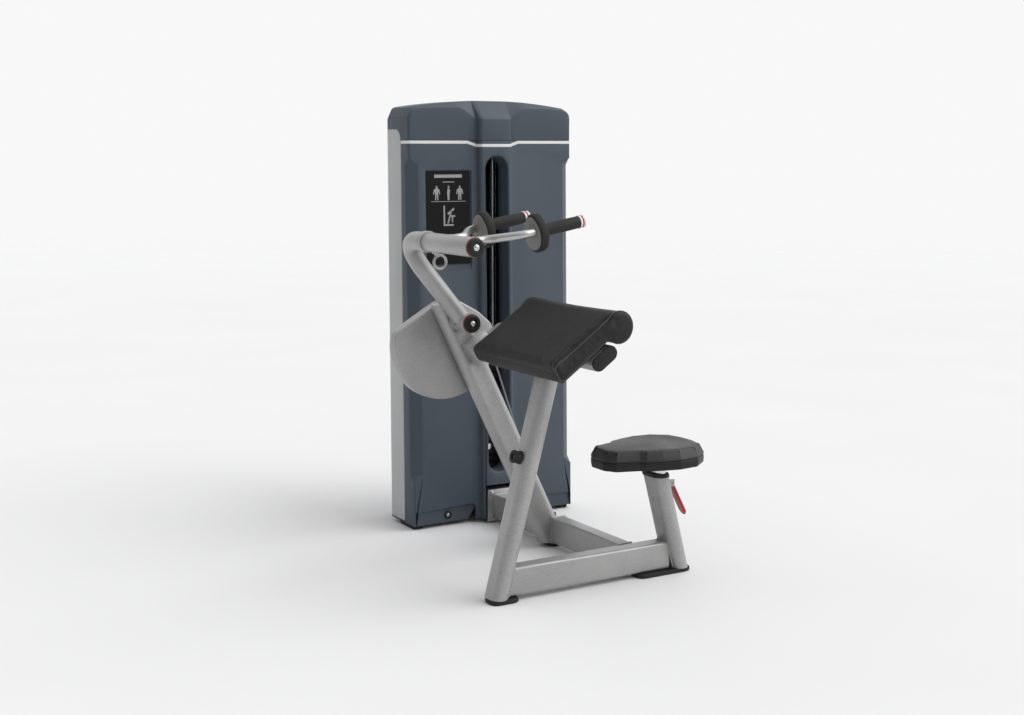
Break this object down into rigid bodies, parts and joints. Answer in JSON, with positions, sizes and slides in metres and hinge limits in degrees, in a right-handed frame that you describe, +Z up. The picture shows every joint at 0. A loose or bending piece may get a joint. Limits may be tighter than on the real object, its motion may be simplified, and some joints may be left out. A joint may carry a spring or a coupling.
{
  "type": "triceps extension machine",
  "caption": "Seated triceps extension gym machine: shrouded weight-stack tower, slanted frame, sloped arm pad, swinging two-grip lever and height-adjustable seat.",
  "frame": {"origin": "on the floor, under the middle of the machine's bounding box", "axes": "+Z up, +Y towards the back of the weight tower, +X towards the user's side"},
  "size_m": [1.035, 1.435, 1.6],
  "materials": {
    "frame_paint": "satin metallic silver-grey powder coat",
    "column_paint": "satin light grey paint",
    "bare_steel": "satin",
    "chrome": "polished",
    "shroud_plastic": "satin slate blue-grey",
    "black_plastic": "satin black",
    "black_rubber": "matt black",
    "guard_plate": "satin grey",
    "red_plastic": "gloss red",
    "pad_leather": "fine-grained black synthetic leather",
    "board": "plywood",
    "black_iron": "black paint",
    "inner_steel": "matt black paint",
    "pulley_plastic": "moulded nylon",
    "cable_steel": "nylon-coated steel rope"
  },
  "bodies": {
    "frame": {"base_crossbar": "frame_paint", "front_rail": "frame_paint", "rear_rail": "frame_paint", "main_post": "frame_paint", "pad_post": "frame_paint", "seat_post": "frame_paint", "tube_trims": "black_plastic", "pad_link": "frame_paint", "pad_crossbar": "frame_paint", "pad_board": "board", "arm_pad": "pad_leather", "arm_stop": "black_rubber", "rubber_feet": "black_rubber", "tower_bracket": "frame_paint", "tower_bolts": "bare_steel", "tower_base": "inner_steel", "side_columns": "column_paint", "front_shroud": "shroud_plastic", "rear_cover": "shroud_plastic", "top_cap": "shroud_plastic", "exercise_placard": "black_plastic", "guide_rods": "bare_steel", "stack_cushions": "black_rubber", "resting_plates": "black_iron", "pulley_beam": "inner_steel", "pulley_axles": "inner_steel", "drive_cable": "cable_steel", "lift_cable": "cable_steel", "cam_guard_front": "column_paint", "cam_guard_rear": "column_paint", "pivot_bearings": "bare_steel"},
    "arm": {"arm_hub": "frame_paint", "arm_tube": "frame_paint", "pivot_shaft": "bare_steel", "drive_cam": "inner_steel", "cam_cable": "cable_steel", "pivot_ring": "red_plastic", "pivot_cap": "black_plastic", "adjuster_collar": "frame_paint"},
    "handles": {"handle_sleeve": "frame_paint", "sleeve_cap": "black_plastic", "handle_rings": "red_plastic", "handle_rods": "bare_steel", "hand_grips": "black_rubber", "hand_guards": "black_rubber", "guard_plates": "guard_plate", "grip_caps": "bare_steel"},
    "plunger": {"adjuster_plunger": "bare_steel"},
    "carriage": {"top_plate": "black_iron", "selector_rod": "bare_steel", "lifted_plates": "black_iron"},
    "pin": {"selector_pin": "black_plastic"},
    "guide_wheel": {"guide_pulley": "pulley_plastic"},
    "foot_wheel": {"foot_pulley": "pulley_plastic"},
    "base_wheel": {"base_pulley": "pulley_plastic"},
    "top_wheel": {"top_pulley": "pulley_plastic"},
    "seat": {"seat_inner_post": "chrome", "seat_pan": "black_plastic", "seat_pad": "pad_leather"},
    "release_lever": {"seat_lever": "red_plastic"}
  },
  "joints": [
    {"name": "arm_swing", "type": "hinge", "parent": "frame", "child": "arm", "pos_m": [-0.2423, -0.0695, 0.847], "axis": [0, -1, 0], "range_deg": [0, 128]},
    {"name": "handle_turn", "type": "hinge", "parent": "arm", "child": "handles", "pos_m": [-0.4813, -0.4195, 1.135], "axis": [0, -1, 0], "range_deg": [-25, 25]},
    {"name": "plunger_pull", "type": "slide", "parent": "handles", "child": "plunger", "axis": [0.4, 0, -0.9165], "range_m": [0, 0.008], "stiffness_N_per_m": 800},
    {"name": "stack_lift", "type": "slide", "parent": "frame", "child": "carriage", "axis": [0, 0, 1], "range_m": [0, 0.114], "deforming": ["lift_cable"]},
    {"name": "pin_pull", "type": "slide", "parent": "carriage", "child": "pin", "axis": [0, -1, 0], "range_m": [0, 0.1]},
    {"name": "guide_pulley_turn", "type": "hinge", "parent": "frame", "child": "guide_wheel", "pos_m": [-0.1123, 0.0645, 0.79], "axis": [0, -1, 0], "range_deg": [0, 233]},
    {"name": "foot_pulley_turn", "type": "hinge", "parent": "frame", "child": "foot_wheel", "pos_m": [0.15589, 0.1065, 0.10467], "axis": [-0.9444, 0, -0.3287], "range_deg": [0, 156]},
    {"name": "base_pulley_turn", "type": "hinge", "parent": "frame", "child": "base_wheel", "pos_m": [0.1697, 0.6425, 0.105], "axis": [-1, 0, 0], "range_deg": [0, 164]},
    {"name": "top_pulley_turn", "type": "hinge", "parent": "frame", "child": "top_wheel", "pos_m": [0.1697, 0.63, 1.388], "axis": [-1, 0, 0], "range_deg": [0, 125]},
    {"name": "seat_slide", "type": "slide", "parent": "frame", "child": "seat", "axis": [-0.2588, 0, 0.9659], "range_m": [0, 0.12]},
    {"name": "seat_lever_pull", "type": "hinge", "parent": "frame", "child": "release_lever", "pos_m": [0.3237, -0.4645, 0.31], "axis": [0, -1, 0], "range_deg": [0, 15], "stiffness_Nm_per_rad": 2}
  ],
  "couplings": [
    {"joint": "stack_lift", "follows": "arm_swing", "m_per_rad": 0.05},
    {"joint": "guide_pulley_turn", "follows": "arm_swing", "ratio": 1.7857},
    {"joint": "foot_pulley_turn", "follows": "arm_swing", "ratio": 1.1905},
    {"joint": "base_pulley_turn", "follows": "arm_swing", "ratio": 1.25},
    {"joint": "top_pulley_turn", "follows": "arm_swing", "ratio": 0.95238}
  ]
}
